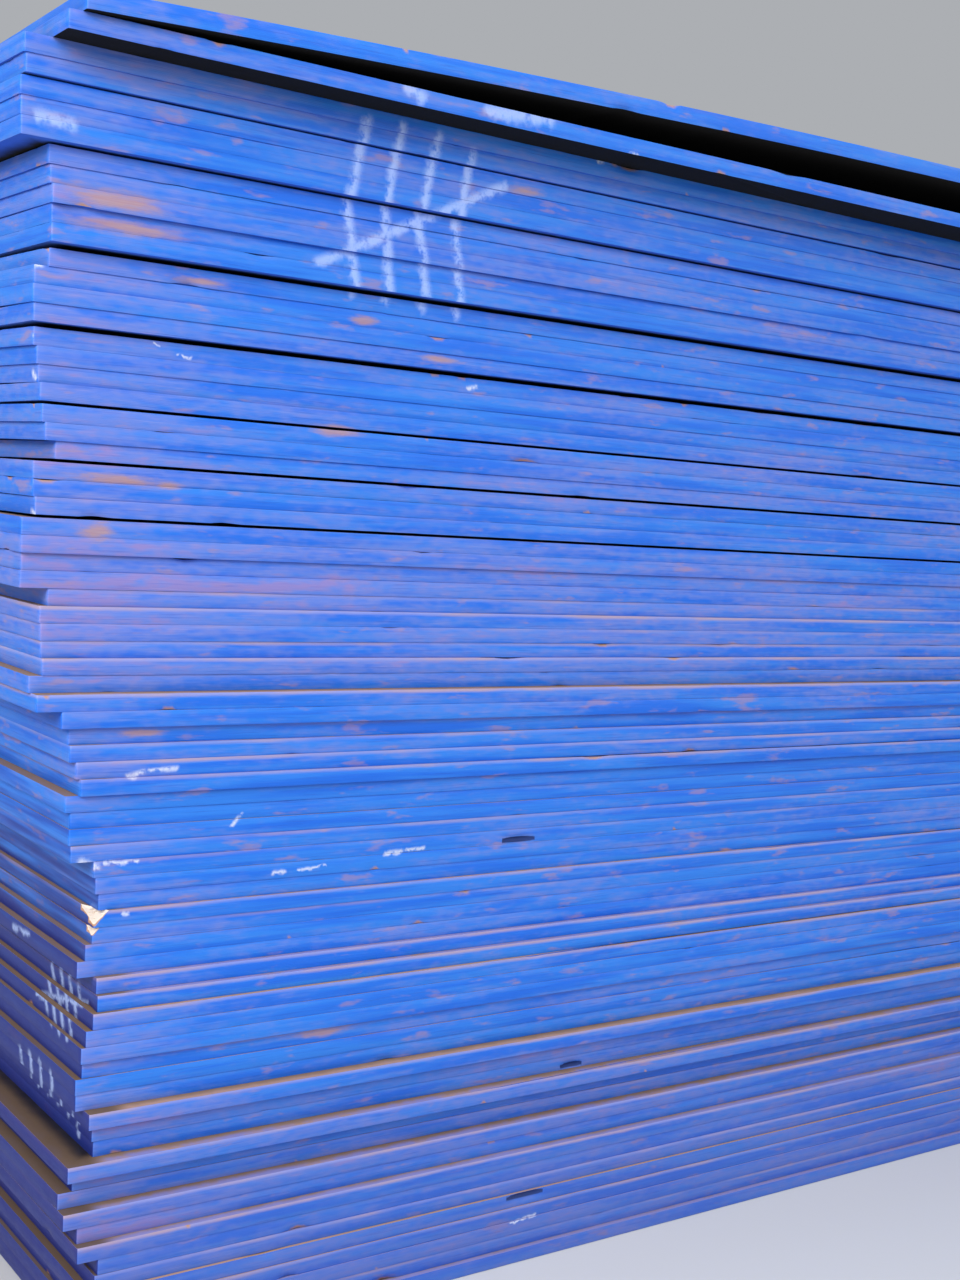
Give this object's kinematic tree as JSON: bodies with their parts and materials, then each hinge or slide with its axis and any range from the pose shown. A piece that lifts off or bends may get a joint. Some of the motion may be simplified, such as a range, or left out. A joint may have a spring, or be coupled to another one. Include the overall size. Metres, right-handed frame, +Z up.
{
  "type": "stack of plywood sheets",
  "caption": "Flat-laid pile of full-size film-faced plywood sheets with blue painted edges, ragged at one corner, with two loose sheets turned on top.",
  "frame": {"origin": "on the floor, under the middle of the area that the whole pile covers", "axes": "+Z up, +X along the sheets, +Y across them; the ragged upright edge in view is at -X, -Y"},
  "size_m": [2.53, 1.3549, 1.1653],
  "materials": {
    "edge_painted_plywood": "satin"
  },
  "bodies": {
    "root": {"loose_arched_sheet": "edge_painted_plywood", "loose_flat_sheet": "edge_painted_plywood", "sheets_01_03": "edge_painted_plywood", "sheets_02_04": "edge_painted_plywood", "sheets_05_07": "edge_painted_plywood", "sheets_06_08": "edge_painted_plywood", "sheets_09_11": "edge_painted_plywood", "sheets_10_12": "edge_painted_plywood", "sheets_13_15": "edge_painted_plywood", "sheets_14_16": "edge_painted_plywood", "sheets_17_19": "edge_painted_plywood", "sheets_18_20": "edge_painted_plywood", "sheets_21_23": "edge_painted_plywood", "sheets_22_24": "edge_painted_plywood", "sheets_25_27": "edge_painted_plywood", "sheets_26_28": "edge_painted_plywood", "sheets_29_31": "edge_painted_plywood", "sheets_30_32": "edge_painted_plywood", "sheets_33_35": "edge_painted_plywood", "sheets_34_36": "edge_painted_plywood", "sheets_37_39": "edge_painted_plywood", "sheets_38_40": "edge_painted_plywood", "sheets_41_43": "edge_painted_plywood", "sheets_42_44": "edge_painted_plywood", "sheets_45_47": "edge_painted_plywood", "sheets_46_48": "edge_painted_plywood", "sheets_49_51": "edge_painted_plywood", "sheets_50_52": "edge_painted_plywood", "sheets_53_55": "edge_painted_plywood", "sheets_54_56": "edge_painted_plywood", "sheets_57_59": "edge_painted_plywood", "sheets_58_60": "edge_painted_plywood", "sheets_61_63": "edge_painted_plywood", "sheets_62_64": "edge_painted_plywood", "sheets_65_67": "edge_painted_plywood", "sheets_66_68": "edge_painted_plywood", "sheets_69_71": "edge_painted_plywood", "sheets_70_72": "edge_painted_plywood", "sheets_73_75": "edge_painted_plywood", "sheets_74": "edge_painted_plywood"}
  },
  "joints": []
}
